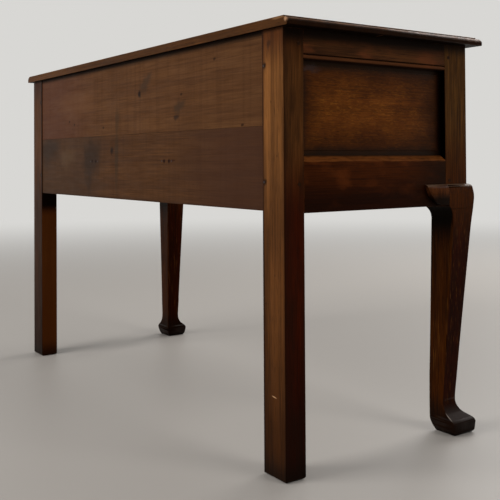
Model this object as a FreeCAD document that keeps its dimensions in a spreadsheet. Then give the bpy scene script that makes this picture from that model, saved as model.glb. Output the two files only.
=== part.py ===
import FreeCAD, Part
import math
import os
import Sketcher
from FreeCAD import Rotation, Vector

# An oak dresser base: three drawers in a pegged frame on cabriole front legs and square back legs.
# X runs along the front, the drawers face -Y, Z is up. The origin is on the floor, under the
# middle of the top. Left and right are those of someone who faces the drawers.

doc = FreeCAD.newDocument("DresserBase")

# Driving dimensions, in millimetres.
dimensions = {
    # Carcase
    "overall_height": 800,
    "carcase_length": 1206,
    "carcase_depth": 466,
    "joint_gap": 0.1,
    "overrun": 5,
    # Top
    "top_thickness": 17,
    "top_end_overhang": 22,
    "top_front_overhang": 25,
    "top_back_overhang": 9,
    "top_front_board_width": 274,
    "top_mould_width": 9,
    "top_mould_step": 2.5,
    "top_mould_drop": 7.5,
    "top_lower_round": 2,
    # Square back legs
    "back_leg_width": 64,
    "back_leg_depth": 44,
    "back_leg_foot_chamfer": 3,
    "back_leg_arris": 1.5,
    # Cabriole front legs: heights from the floor, or down from the top of the knee, and insets
    # from the outer faces of the carcase
    "front_stile": 62,
    "knee_rise": 43,
    "knee_roll": 8.5,
    "knee_proud": 10.5,
    "knee_drop": 29,
    "shin_drop": 88,
    "shin_proud": 6.3,
    "ankle_height": 70,
    "ankle_inset": 18.7,
    "instep_height": 40.5,
    "instep_inset": 8,
    "toe_top_height": 31.5,
    "toe_top_proud": 4.5,
    "toe_height": 22,
    "toe_proud": 9.5,
    "sole_height": 6,
    "sole_side_proud": 8,
    "sole_proud": 2.5,
    "heel_inset": 55.3,
    "heel_round": 10,
    "heel_height": 34,
    "calf_height": 120,
    "leg_bracket_width": 11,
    "leg_bracket_height": 25,
    "knee_ear_length": 59,
    "knee_ear_height": 41,
    "knee_ear_base": 20,
    # End frames
    "frame_height": 323,
    "bottom_rail_height": 101,
    "side_top_rail_height": 53,
    "side_rail_thickness": 26,
    "rail_chamfer_height": 10,
    "rail_bead_radius": 4,
    "rail_bead_quirk": 1.5,
    "tenon_length": 30,
    "tenon_thickness": 10,
    "tenon_inset": 8,
    "tenon_shoulder": 12,
    "panel_recess": 13,
    "panel_thickness": 8,
    "panel_tongue": 7,
    "panel_room": 1,
    "panel_margin": 9,
    "panel_field_depth": 1.5,
    # Front frame
    "front_rail_thickness": 26,
    "front_top_rail_height": 34,
    "front_tenon_shoulder": 8,
    "divider_width": 34,
    "divider_tenon_length": 12,
    # Pegs and nails
    "peg_radius": 3.5,
    "peg_inset": 11,
    "peg_length": 28,
    "peg_proud": 0.4,
    "nail_width": 3.2,
    "nail_length": 42,
    "nail_spread": 21,
    "nail_inset": 5,
    "leg_nail_length": 24,
    "upper_nail_drop": 63,
    "lower_nail_rise": 54,
    # Back boards
    "back_board_thickness": 14,
    "back_board_recess": 2,
    "back_board_rise": 3,
    "lower_back_board_height": 151,
    "back_board_seam": 0.3,
    "board_tongue_length": 9,
    "board_tongue_thickness": 8,
    # Drawer runners, guides, kickers, stops and glue blocks
    "runner_thickness": 18,
    "runner_reach": 34,
    "runner_tongue_length": 8,
    "runner_tongue_thickness": 8,
    "guide_height": 20,
    "kicker_thickness": 18,
    "stop_width": 16,
    "stop_length": 26,
    "stop_thickness": 6,
    "block_length": 60,
    "block_size": 22,
    # Drawers
    "drawer_side_gap": 1.2,
    "drawer_top_gap": 1.5,
    "drawer_run_gap": 0.3,
    "drawer_back_room": 2,
    "drawer_front_thickness": 18,
    "drawer_side_thickness": 10,
    "drawer_side_drop": 4,
    "drawer_back_drop": 12,
    "drawer_bottom_thickness": 7,
    "drawer_bottom_rise": 10,
    "drawer_groove_depth": 5,
    "dovetail_lap": 7.5,
    "dovetail_count": 4,
    "bead_thickness": 3,
    "bead_depth": 9,
    "bead_proud": 2.5,
    "bead_round": 1.3,
    # Drop handles
    "handle_spread": 70,
    "handle_rise": 8,
    "plate_thickness": 1.5,
    "plate_half_width": 54,
    "plate_rise": 25,
    "plate_fall": 31,
    "shank_radius": 2.5,
    "shank_tip": 2,
    "nut_width": 10,
    "nut_thickness": 3.5,
    "collar_radius": 6.5,
    "collar_height": 2.5,
    "post_neck_radius": 3,
    "post_head_radius": 5,
    "post_chamfer": 1.5,
    "post_reach": 13.5,
    "bail_wire_radius": 2.2,
    "bail_fit": 0.1,
    "bail_pin_length": 6,
    "bail_shoulder_gap": 3,
    "bail_shoulder_radius": 6,
    "bail_neck_radius": 14,
    "bail_drop_radius": 12,
    "bail_grip_swell": 1.8,
    "bail_grip_chamfer": 1.5,
}

# Shares of the sizes that they follow. An arc's share is its bulge over its chord.
diagonal_share = math.sqrt(0.5)
knee_share = 0.03
shin_share = 0.007
ankle_share = 0.117
toe_share = 0.106
sole_share = 0.1
heel_share = 0.07
bracket_share = 0.12
ear_share = 0.15
tail_root_share = 0.52
tail_tip_share = 0.61
block_place_shares = (0.18, 0.5, 0.82)
mould_share = 0.182
# Half of a handle's backplate, from the middle of its top: across, up or down, and the next bulge.
plate_shares = (
    (0, 1, 0.1),
    (0.58, 0.84, -0.18),
    (1, -0.04, -0.16),
    (0.62, -0.5, 0.1),
    (0, -1, 0),
)


class Size:
    """A length that keeps its number together with the expression that gives it."""

    def __init__(self, number, text):
        self.number = number
        self.text = text

    def __add__(self, other):
        other = as_size(other)
        return Size(self.number + other.number, f"({self.text} + {other.text})")

    def __sub__(self, other):
        other = as_size(other)
        return Size(self.number - other.number, f"({self.text} - {other.text})")

    def __mul__(self, other):
        other = as_size(other)
        return Size(self.number * other.number, f"({self.text} * {other.text})")

    def __truediv__(self, other):
        other = as_size(other)
        return Size(self.number / other.number, f"({self.text} / {other.text})")

    def __radd__(self, other):
        return as_size(other) + self

    def __rsub__(self, other):
        return as_size(other) - self

    def __rmul__(self, other):
        return as_size(other) * self

    def __neg__(self):
        return self * -1

    def __abs__(self):
        return Size(abs(self.number), f"abs({self.text})")

    def root(self):
        return Size(math.sqrt(self.number), f"sqrt({self.text})")


def as_size(value):
    return value if isinstance(value, Size) else Size(float(value), repr(float(value)))


# The sheet of driving dimensions.
sheet = doc.addObject("Spreadsheet::Sheet", "Sizes")
for row, (alias, number) in enumerate(dimensions.items(), start=1):
    sheet.set(f"A{row}", alias)
    sheet.set(f"B{row}", str(number))
    sheet.setAlias(f"B{row}", alias)
doc.recompute()


class SheetSizes:
    """Gives each dimension of the sheet by its alias."""

    def __getattr__(self, alias):
        return Size(float(sheet.get(alias)), f"Sizes.{alias}")


s = SheetSizes()

# Places that several pieces share.
x_left = -s.carcase_length / 2
x_right = s.carcase_length / 2
y_front = (s.top_front_overhang - s.top_back_overhang - s.carcase_depth) / 2
y_back = y_front + s.carcase_depth
top_underside = s.overall_height - s.top_thickness
side_length = s.carcase_depth - s.front_stile - s.back_leg_depth
front_length = s.carcase_length - 2 * s.front_stile
rail_bottom = top_underside - s.frame_height
knee_top = rail_bottom + s.knee_rise
back_board_bottom = rail_bottom + s.back_board_rise
opening_bottom = rail_bottom + s.bottom_rail_height
opening_top = top_underside - s.front_top_rail_height
opening_height = opening_top - opening_bottom
opening_width = (front_length - 2 * s.divider_width) / 3
panel_top = top_underside - s.side_top_rail_height
panel_back = s.panel_recess + s.panel_thickness
groove_depth = s.panel_tongue + s.panel_room
top_peg_height = top_underside - s.side_top_rail_height / 2
bottom_peg_height = rail_bottom + s.bottom_rail_height / 2
front_peg_height = top_underside - s.front_top_rail_height / 2
tenon_back = s.tenon_inset + s.tenon_thickness
back_face = y_back - s.back_board_recess
back_inside = back_face - s.back_board_thickness
tongue_setback = (s.back_board_thickness - s.board_tongue_thickness) / 2
upper_nail_height = top_underside - s.upper_nail_drop
lower_nail_height = rail_bottom + s.lower_nail_rise
runner_nail_height = opening_bottom - s.runner_thickness / 2
side_tenon_spans = [
    (rail_bottom + s.tenon_shoulder, opening_bottom - s.tenon_shoulder),
    (panel_top + s.tenon_shoulder, top_underside - s.tenon_shoulder),
]
front_tenon_spans = [
    (rail_bottom + s.tenon_shoulder, opening_bottom - s.tenon_shoulder),
    (opening_top + s.front_tenon_shoulder, top_underside - s.front_tenon_shoulder),
]


def opening_start(index):
    """Left side of a drawer opening, counted from the left."""
    return x_left + s.front_stile + index * (opening_width + s.divider_width)


def divider_start(index):
    """Left side of an upright between two drawer openings."""
    return opening_start(index) + opening_width


def bind(item, property_name, size):
    item.setExpression(property_name, as_size(size).text)


def new_body(label, place):
    body = doc.addObject("PartDesign::Body", label)
    body.Label = label
    return put(body, place)


def origin_feature(body, role):
    return next(item for item in body.Origin.OriginFeatures if item.Role == role)


def new_sketch(body, plane, offset):
    """A sketch on one of the body's own planes, moved along that plane's normal."""
    sketch = body.newObject("Sketcher::SketchObject", f"{body.Name}_sketch")
    sketch.AttachmentSupport = [(origin_feature(body, f"{plane}_Plane"), "")]
    sketch.MapMode = "FlatFace"
    bind(sketch, "AttachmentOffset.Base.z", offset)
    return sketch


def pin_point(sketch, edge, end, point):
    """Ties one end of an edge, or a circle's centre, to its place in the sketch."""
    for kind, size in zip(("DistanceX", "DistanceY"), point):
        size = as_size(size)
        index = sketch.addConstraint(Sketcher.Constraint(kind, -1, 1, edge, end, size.number))
        bind(sketch, f"Constraints[{index}]", size)


def pin_radius(sketch, edge, radius):
    index = sketch.addConstraint(Sketcher.Constraint("Radius", edge, radius.number))
    bind(sketch, f"Constraints[{index}]", radius)


def arc_radius(chord, bend):
    """An arc's radius, from the radius itself or from its bulge over its chord."""
    if isinstance(bend, Size):
        return abs(bend)
    share = abs(bend)
    return chord * (1 / (8 * share) + share / 2)


def add_arc(sketch, start, stop, radius, bend):
    """Adds the short arc that bulges to the right if the bend is positive, or else to the left."""
    chord = stop - start
    half = chord.Length / 2
    left = Vector(-chord.y, chord.x) / chord.Length
    centre = (start + stop) / 2 + left * math.copysign(math.sqrt(radius * radius - half * half), bend)
    first, last = (start, stop) if bend > 0 else (stop, start)
    first_angle = math.atan2(first.y - centre.y, first.x - centre.x)
    last_angle = math.atan2(last.y - centre.y, last.x - centre.x)
    if last_angle < first_angle:
        last_angle += 2 * math.pi
    circle = Part.Circle(centre, Vector(0, 0, 1), radius)
    edge = sketch.addGeometry(Part.ArcOfCircle(circle, first_angle, last_angle))
    return (edge, 1, 2) if bend > 0 else (edge, 2, 1)


def draw(sketch, corners, closed=True):
    """Draws lines and arcs from corner to corner.

    A corner is (u, v), or (u, v, bend) where an arc runs on to the next one. The bend is a radius
    or a share of the chord, positive where the arc bulges to the right of the way that it runs."""
    following = corners[1:] + corners[:1] if closed else corners[1:]
    ends = []
    for here, there in zip(corners, following):
        start = Vector(as_size(here[0]).number, as_size(here[1]).number)
        stop = Vector(as_size(there[0]).number, as_size(there[1]).number)
        if len(here) == 2:
            ends.append((sketch.addGeometry(Part.LineSegment(start, stop)), 1, 2))
            continue
        across, along = as_size(there[0]) - here[0], as_size(there[1]) - here[1]
        radius = arc_radius((across * across + along * along).root(), here[2])
        ends.append(add_arc(sketch, start, stop, radius.number, as_size(here[2]).number))
        pin_radius(sketch, ends[-1][0], radius)
    for (edge, first, _), corner in zip(ends, corners):
        pin_point(sketch, edge, first, corner[:2])
    next_ends = ends[1:] + ends[:1] if closed else ends[1:]
    for (edge, _, last), (next_edge, next_first, _) in zip(ends, next_ends):
        sketch.addConstraint(Sketcher.Constraint("Coincident", edge, last, next_edge, next_first))
    if not closed:
        edge, _, last = ends[-1]
        pin_point(sketch, edge, last, corners[-1][:2])


def draw_circle(sketch, centre, radius):
    u, v = (as_size(size).number for size in centre)
    edge = sketch.addGeometry(Part.Circle(Vector(u, v), Vector(0, 0, 1), radius.number))
    pin_point(sketch, edge, 3, centre)
    pin_radius(sketch, edge, radius)


def rectangle(u0, v0, u1, v1):
    return [(u0, v0), (u1, v0), (u1, v1), (u0, v1)]


def extrude(kind, body, plane, first, last, outlines, circle=None):
    """A pad or a pocket that spans first to last along the axis square to its plane."""
    first, last = as_size(first), as_size(last)
    sketch = new_sketch(body, plane, -last if plane == "XZ" else first)
    for corners in outlines:
        draw(sketch, corners)
    if circle:
        draw_circle(sketch, *circle)
    feature = body.newObject(f"PartDesign::{kind}", f"{body.Name}_{kind.lower()}")
    feature.Profile = sketch
    bind(feature, "Length", last - first)
    if kind == "Pocket":
        feature.Reversed = True
    return feature


def pad(body, plane, first, last, *outlines):
    return extrude("Pad", body, plane, first, last, outlines)


def pocket(body, plane, first, last, *outlines):
    return extrude("Pocket", body, plane, first, last, outlines)


def square(centre, half):
    u, v = centre
    return rectangle(u - half, v - half, u + half, v + half)


def bend_points(centre, radius, first, last, steps):
    """Points at even steps round a bend, between two angles in degrees."""
    turns = [math.radians(first + (last - first) * step / steps) for step in range(steps + 1)]
    return [(centre[0] + radius * math.cos(turn), centre[1] + radius * math.sin(turn)) for turn in turns]


def eight_sided(centre, radius):
    """The section of a whittled peg, or of the hole that it is driven into."""
    return bend_points(centre, radius, 0, 315, 7)


def peg_holes(body, plane, first, last, radius, *centres):
    return pocket(body, plane, first, last, *[eight_sided(centre, radius) for centre in centres])


def nail_holes(body, first, last, *centres):
    return pocket(body, "XZ", first, last,
                  *[square(centre, s.nail_width / 2 + s.joint_gap) for centre in centres])


def pad_box(body, low, high):
    return pad(body, "XY", low[2], high[2], rectangle(low[0], low[1], high[0], high[1]))


def cut_box(body, low, high):
    return pocket(body, "XY", low[2], high[2], rectangle(low[0], low[1], high[0], high[1]))


def new_board(label, low, high):
    """A body with one rectangular pad, from its low corner to its high one."""
    body = new_body(label, low)
    pad_box(body, (0, 0, 0), [top - bottom for bottom, top in zip(low, high)])
    return body


def edges_at(body, *places):
    """Names of the edges whose ends both lie at one of the places; None there leaves an axis free."""
    doc.recompute()
    names = []
    for number, edge in enumerate(body.Tip.Shape.Edges, start=1):
        for place in places:
            if all(math.isclose(value, as_size(size).number, abs_tol=Part.Precision.confusion() * 10)
                   for vertex in edge.Vertexes
                   for value, size in zip(vertex.Point, place) if size is not None):
                names.append(f"Edge{number}")
    return names


def soften(kind, body, names, size):
    """Rounds or chamfers the named edges of the body's last feature."""
    base = body.Tip
    feature = body.newObject(f"PartDesign::{kind}", f"{body.Name}_{kind.lower()}")
    feature.Base = (base, names)
    bind(feature, "Radius" if kind == "Fillet" else "Size", size)
    return feature


def mirror(label, source, middle=0):
    """The opposite-hand piece, across an upright plane square to X."""
    twin = doc.addObject("Part::Mirroring", label)
    twin.Label = label
    twin.Source = source
    twin.Normal = Vector(1, 0, 0)
    bind(twin, "Base.x", middle)
    return twin


def group(label, pieces):
    """Like pieces that share one node, as separate solids."""
    joined = doc.addObject("Part::Compound", label)
    joined.Label = label
    joined.Links = pieces
    return joined


def put(piece, place):
    for axis, size in zip("xyz", place):
        bind(piece, f"Placement.Base.{axis}", size)
    return piece


def peg(label, letter, place):
    """An eight-sided peg that runs from its place along +X or +Y."""
    piece = doc.addObject("Part::Prism", label)
    turn = Rotation(Vector(0, 1, 0), 90) if letter == "x" else Rotation(Vector(1, 0, 0), -90)
    piece.Placement = FreeCAD.Placement(Vector(0, 0, 0), turn)
    piece.Polygon = 8
    bind(piece, "Circumradius", s.peg_radius)
    bind(piece, "Height", s.peg_length + s.peg_proud)
    return put(piece, place)


def nail(label, place, length):
    """A square wrought nail that runs from its place along +Y."""
    piece = doc.addObject("Part::Box", label)
    bind(piece, "Length", s.nail_width)
    bind(piece, "Width", length)
    bind(piece, "Height", s.nail_width)
    return put(piece, (place[0] - s.nail_width / 2, place[1], place[2] - s.nail_width / 2))


nodes = []


def add_pair(left_piece, right_label):
    """Adds a left-hand piece and its mirrored twin to the nodes."""
    nodes.append(left_piece)
    nodes.append(mirror(right_label, left_piece))


# Cabriole front legs. A square blank is sawn to one curved profile on two faces.
def knee_profile():
    """The rolled knee and the shin, down the outer side."""
    return [
        (0, knee_top, s.knee_roll),
        (-s.knee_roll, knee_top - s.knee_roll, knee_share),
        (-s.knee_proud, knee_top - s.knee_drop, shin_share),
        (-s.shin_proud, knee_top - s.shin_drop),
    ]


def leg_profile():
    """Down the outer side from the top, under the foot and up the inner side."""
    return [
        (0, top_underside),
        *knee_profile(),
        (s.ankle_inset, s.ankle_height, -ankle_share),
        (s.instep_inset, s.instep_height),
        (-s.toe_top_proud, s.toe_top_height, toe_share),
        (-s.toe_proud, s.toe_height),
        (-s.sole_side_proud, s.sole_height, sole_share),
        (-s.sole_proud, 0),
        (s.heel_inset - s.heel_round, 0, heel_share),
        (s.heel_inset, s.heel_height),
        (s.heel_inset, s.calf_height),
        (s.front_stile - s.leg_bracket_width, rail_bottom - s.leg_bracket_height, -bracket_share),
        (s.front_stile, rail_bottom),
        (s.front_stile, top_underside),
    ]


def mortises(spans):
    """Mortise outlines for tenons between the given heights."""
    return [rectangle(s.tenon_inset - s.joint_gap, low - s.joint_gap,
                      tenon_back + s.joint_gap, high + s.joint_gap) for low, high in spans]


def panel_groove():
    return rectangle(s.panel_recess, opening_bottom - groove_depth, panel_back, panel_top + groove_depth)


def front_leg():
    leg = new_body("front_leg_left", (x_left, y_front, 0))
    start, end = -s.knee_proud - s.overrun, s.front_stile + s.overrun
    pad(leg, "XZ", start, end, leg_profile())
    waste = rectangle(start - s.overrun, -s.overrun, end + s.overrun, top_underside + s.overrun)
    pocket(leg, "YZ", start, end, waste, leg_profile())
    mortise_start = s.front_stile - s.tenon_length - s.joint_gap
    pocket(leg, "XZ", mortise_start, s.front_stile, *mortises(side_tenon_spans))
    pocket(leg, "YZ", mortise_start, s.front_stile, *mortises(front_tenon_spans))
    pocket(leg, "XZ", s.front_stile - groove_depth, s.front_stile, panel_groove())
    peg_place = s.front_stile - s.peg_inset
    for plane, height in (("YZ", top_peg_height), ("XZ", front_peg_height)):
        peg_holes(leg, plane, -s.overrun, s.peg_length, s.peg_radius + s.joint_gap,
                  (peg_place, height), (peg_place, bottom_peg_height))
    return leg


add_pair(front_leg(), "front_leg_right")


# Knee ears: blocks that carry the roll of the knee along the faces of the rails.
def knee_ear(label, place, roll_plane, shape_plane):
    ear = new_body(label, place)
    bottom = knee_top - s.knee_ear_height
    shin = knee_top - s.shin_drop
    pad(ear, roll_plane, 0, s.knee_ear_length, [*knee_profile(), (0, shin)])
    waste = rectangle(-s.overrun, shin - s.overrun,
                      s.knee_ear_length + s.overrun, knee_top + s.overrun)
    shape = [
        (0, knee_top),
        (0, bottom),
        (s.knee_ear_base, bottom, ear_share),
        (s.knee_ear_length, knee_top),
    ]
    pocket(ear, shape_plane, -s.knee_proud - s.overrun, s.overrun, waste, shape)
    return ear


add_pair(knee_ear("knee_ear_left_side", (x_left, y_front + s.front_stile, 0), "XZ", "YZ"),
         "knee_ear_right_side")
add_pair(knee_ear("knee_ear_left_front", (x_left + s.front_stile, y_front, 0), "YZ", "XZ"),
         "knee_ear_right_front")


# Back legs: square posts, mortised on the front and grooved for the panel and the back boards.
def back_leg():
    leg = new_body("back_leg_left", (x_left, y_back - s.back_leg_depth, 0))
    pad_box(leg, (0, 0, 0), (s.back_leg_width, s.back_leg_depth, top_underside))
    width, depth = s.back_leg_width, s.back_leg_depth
    foot = edges_at(leg, (None, 0, 0), (None, depth, 0), (0, None, 0), (width, None, 0))
    soften("Chamfer", leg, foot, s.back_leg_foot_chamfer)
    posts = edges_at(leg, (0, depth, None), (width, depth, None), (width, 0, None))
    soften("Fillet", leg, posts, s.back_leg_arris)
    pocket(leg, "XZ", 0, s.tenon_length + s.joint_gap, *mortises(side_tenon_spans))
    pocket(leg, "XZ", 0, groove_depth, panel_groove())
    tongue_back = s.back_leg_depth - s.back_board_recess - tongue_setback
    pocket(leg, "YZ", s.back_leg_width - s.board_tongue_length - s.joint_gap, s.back_leg_width,
           rectangle(tongue_back - s.board_tongue_thickness - s.joint_gap,
                     back_board_bottom - s.joint_gap,
                     tongue_back + s.joint_gap, top_underside + s.overrun))
    peg_holes(leg, "YZ", -s.overrun, s.peg_length, s.peg_radius + s.joint_gap,
              (s.peg_inset, top_peg_height), (s.peg_inset, bottom_peg_height))
    nail_x = s.back_leg_width - s.nail_inset
    nail_holes(leg, s.back_leg_depth - s.leg_nail_length, s.back_leg_depth + s.overrun,
               (nail_x, upper_nail_height), (nail_x, lower_nail_height))
    return leg


add_pair(back_leg(), "back_leg_right")


# End frames: a beaded top rail, a deep chamfered bottom rail and a sunk panel between them.
def side_rail(label, bottom, height):
    rail = new_body(label, (x_left, y_front + s.front_stile, bottom))
    pad_box(rail, (0, 0, 0), (s.side_rail_thickness, side_length, height))
    pad_box(rail, (s.tenon_inset, -s.tenon_length, s.tenon_shoulder),
            (tenon_back, side_length + s.tenon_length, height - s.tenon_shoulder))
    peg_holes(rail, "YZ", 0, s.side_rail_thickness, s.peg_radius + s.joint_gap,
              (-s.peg_inset, height / 2), (side_length + s.peg_inset, height / 2))
    return rail


def side_top_rail():
    rail = side_rail("side_top_rail_left", panel_top, s.side_top_rail_height)
    bead = s.rail_bead_radius
    quirk_top = 2 * bead + s.rail_bead_quirk
    waste = [
        (-s.overrun, -s.overrun),
        (bead, -s.overrun),
        (bead, 0, -bead),
        (0, bead, -bead),
        (bead, 2 * bead),
        (bead, quirk_top),
        (-s.overrun, quirk_top),
    ]
    pocket(rail, "XZ", 0, side_length, waste)
    cut_box(rail, (s.panel_recess, 0, -s.overrun), (panel_back, side_length, groove_depth))
    return rail


def side_bottom_rail():
    height = s.bottom_rail_height
    rail = side_rail("side_bottom_rail_left", rail_bottom, height)
    slope = [
        (0, height - s.rail_chamfer_height),
        (s.panel_recess, height),
        (s.panel_recess, height + s.overrun),
        (-s.overrun, height + s.overrun),
        (-s.overrun, height - s.rail_chamfer_height),
    ]
    pocket(rail, "XZ", 0, side_length, slope)
    cut_box(rail, (s.panel_recess, 0, height - groove_depth), (panel_back, side_length, height + s.overrun))
    return rail


def side_panel():
    """A panel that floats in its grooves, with a low raised field on the outer face."""
    panel_front = y_front + s.front_stile - s.panel_tongue
    low = (x_left + s.panel_recess + s.joint_gap, panel_front, opening_bottom - s.panel_tongue)
    high = (x_left + panel_back - s.joint_gap, panel_front + side_length + 2 * s.panel_tongue,
            panel_top + s.panel_tongue)
    panel = new_board("side_panel_left", low, high)
    length, height = high[1] - low[1], high[2] - low[2]
    margin = s.panel_tongue + s.panel_margin
    pocket(panel, "YZ", -s.overrun, s.panel_field_depth,
           rectangle(-s.overrun, -s.overrun, length + s.overrun, height + s.overrun),
           rectangle(margin, margin, length - margin, height - margin))
    return panel


add_pair(side_top_rail(), "side_top_rail_right")
add_pair(side_bottom_rail(), "side_bottom_rail_right")
add_pair(side_panel(), "side_panel_right")


# Front frame: two rails, with two uprights stub-tenoned between them.
def front_rail(label, bottom, height, shoulder, mortise_low, mortise_high):
    rail = new_body(label, (x_left + s.front_stile, y_front, bottom))
    pad_box(rail, (0, 0, 0), (front_length, s.front_rail_thickness, height))
    pad_box(rail, (-s.tenon_length, s.tenon_inset, shoulder),
            (front_length + s.tenon_length, tenon_back, height - shoulder))
    starts = [divider_start(index) - x_left - s.front_stile for index in range(2)]
    pocket(rail, "XY", mortise_low, mortise_high,
           *[rectangle(start - s.joint_gap, s.tenon_inset - s.joint_gap,
                       start + s.divider_width + s.joint_gap, tenon_back + s.joint_gap)
             for start in starts])
    peg_holes(rail, "XZ", 0, s.front_rail_thickness, s.peg_radius + s.joint_gap,
              (-s.peg_inset, height / 2), (front_length + s.peg_inset, height / 2))
    return rail


divider_mortise = s.divider_tenon_length + s.joint_gap
front_top_rail = front_rail("front_top_rail", opening_top, s.front_top_rail_height,
                            s.front_tenon_shoulder, -s.overrun, divider_mortise)
front_bottom_rail = front_rail("front_bottom_rail", rail_bottom, s.bottom_rail_height,
                               s.tenon_shoulder, s.bottom_rail_height - divider_mortise,
                               s.bottom_rail_height + s.overrun)
# A groove along the back of the bottom rail takes the runners' tongues.
runner_tongue_low = (s.runner_thickness - s.runner_tongue_thickness) / 2
runner_groove_low = s.bottom_rail_height - s.runner_thickness + runner_tongue_low - s.joint_gap
cut_box(front_bottom_rail,
        (0, s.front_rail_thickness - s.runner_tongue_length - s.joint_gap, runner_groove_low),
        (front_length, s.front_rail_thickness + s.overrun,
         runner_groove_low + s.runner_tongue_thickness + 2 * s.joint_gap))
nodes += [front_top_rail, front_bottom_rail]

for index, side in enumerate(("left", "right")):
    divider = new_body(f"drawer_divider_{side}", (divider_start(index), y_front, opening_bottom))
    pad_box(divider, (0, 0, 0), (s.divider_width, s.front_rail_thickness, opening_height))
    pad_box(divider, (0, s.tenon_inset, -s.divider_tenon_length),
            (s.divider_width, tenon_back, opening_height + s.divider_tenon_length))
    nodes.append(divider)


# Back boards, tongued into the back legs and nailed through them.
def back_board(label, bottom, top, nail_height):
    board = new_body(label, (x_left + s.back_leg_width, back_inside, bottom))
    length = s.carcase_length - 2 * s.back_leg_width
    pad_box(board, (0, 0, 0), (length, s.back_board_thickness, top - bottom))
    pad_box(board, (-s.board_tongue_length, tongue_setback, 0),
            (length + s.board_tongue_length, tongue_setback + s.board_tongue_thickness, top - bottom))
    nail_holes(board, 0, s.back_board_thickness,
               (-s.nail_inset, nail_height - bottom), (length + s.nail_inset, nail_height - bottom))
    return board


lower_board_top = back_board_bottom + s.lower_back_board_height
back_board_lower = back_board("back_board_lower", back_board_bottom, lower_board_top,
                              lower_nail_height)
back_board_upper = back_board("back_board_upper", lower_board_top + s.back_board_seam, top_underside,
                              upper_nail_height)
runner_nail_places = [divider_start(index) + s.divider_width / 2 + offset
                      for index in range(2) for offset in (-s.nail_spread, s.nail_spread)]
nail_holes(back_board_lower, 0, s.back_board_thickness,
           *[(place - x_left - s.back_leg_width, runner_nail_height - back_board_bottom)
             for place in runner_nail_places])
nodes += [back_board_lower, back_board_upper]


# Runners carry the drawers, guides keep them straight and kickers stop them tipping.
def end_strip_outline():
    """Plan of a strip inside one end frame, notched round both legs."""
    inner = s.front_stile + s.runner_reach
    back = back_inside - y_front
    leg_front = s.front_stile + side_length
    return [
        (s.side_rail_thickness, s.front_stile),
        (s.front_stile, s.front_stile),
        (s.front_stile, s.front_rail_thickness),
        (inner, s.front_rail_thickness),
        (inner, back),
        (s.back_leg_width, back),
        (s.back_leg_width, leg_front),
        (s.side_rail_thickness, leg_front),
    ]


def end_runner():
    runner = new_body("runner_left_end", (x_left, y_front, opening_bottom - s.runner_thickness))
    pad(runner, "XY", 0, s.runner_thickness, end_strip_outline())
    pad_box(runner,
            (s.front_stile, s.front_rail_thickness - s.runner_tongue_length, runner_tongue_low),
            (s.front_stile + s.runner_reach, s.front_rail_thickness + s.overrun,
             runner_tongue_low + s.runner_tongue_thickness))
    return runner


def middle_strip(label, bottom, top):
    """A strip behind an upright, wide enough for the drawers on both sides of it."""
    return new_board(label, (divider_start(0) - s.runner_reach, y_front + s.front_rail_thickness, bottom),
                     (divider_start(0) + s.divider_width + s.runner_reach, back_inside, top))


def middle_runner():
    runner = middle_strip("runner_left_middle", opening_bottom - s.runner_thickness, opening_bottom)
    width = s.divider_width + 2 * s.runner_reach
    length = back_inside - y_front - s.front_rail_thickness
    pad_box(runner, (0, -s.runner_tongue_length, runner_tongue_low),
            (width, s.overrun, runner_tongue_low + s.runner_tongue_thickness))
    nail_holes(runner, length - s.nail_length, length,
               (width / 2 - s.nail_spread, s.runner_thickness / 2),
               (width / 2 + s.nail_spread, s.runner_thickness / 2))
    return runner


add_pair(end_runner(), "runner_right_end")
add_pair(middle_runner(), "runner_right_middle")

guide_front = y_front + s.front_stile
guide_top = opening_bottom + s.guide_height
end_guide = new_board("guide_left_end", (x_left + s.side_rail_thickness, guide_front, opening_bottom),
                      (x_left + s.front_stile, guide_front + side_length, guide_top))
middle_guide = new_board("guide_left_middle",
                         (divider_start(0), y_front + s.front_rail_thickness, opening_bottom),
                         (divider_start(0) + s.divider_width, back_inside, guide_top))
nodes.append(group("drawer_guides", [end_guide, middle_guide, mirror("guide_right_end", end_guide),
                                     mirror("guide_right_middle", middle_guide)]))

end_kicker = new_body("kicker_left_end", (x_left, y_front, opening_top))
pad(end_kicker, "XY", 0, s.kicker_thickness, end_strip_outline())
middle_kicker = middle_strip("kicker_left_middle", opening_top, opening_top + s.kicker_thickness)
nodes.append(group("drawer_kickers", [end_kicker, middle_kicker, mirror("kicker_right_end", end_kicker),
                                      mirror("kicker_right_middle", middle_kicker)]))

# Drawer stops: small blocks behind each end of the drawer fronts.
stops = []
stop_setback = s.drawer_side_gap + s.drawer_side_thickness + s.drawer_groove_depth
stop_front = y_front + s.drawer_front_thickness + s.drawer_run_gap
for index in range(3):
    for place in (opening_start(index) + stop_setback,
                  opening_start(index) + opening_width - stop_setback - s.stop_width):
        stops.append(new_board(f"drawer_stop_{len(stops) + 1}", (place, stop_front, opening_bottom),
                               (place + s.stop_width, stop_front + s.stop_length,
                                opening_bottom + s.stop_thickness)))
nodes.append(group("drawer_stops", stops))

# Top: two boards edge to edge, with a step and an ovolo on the front and both ends.
top_left = x_left - s.top_end_overhang
top_right = x_right + s.top_end_overhang
top_front = y_front - s.top_front_overhang
top_back = y_back + s.top_back_overhang
top_joint = top_front + s.top_front_board_width


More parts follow.
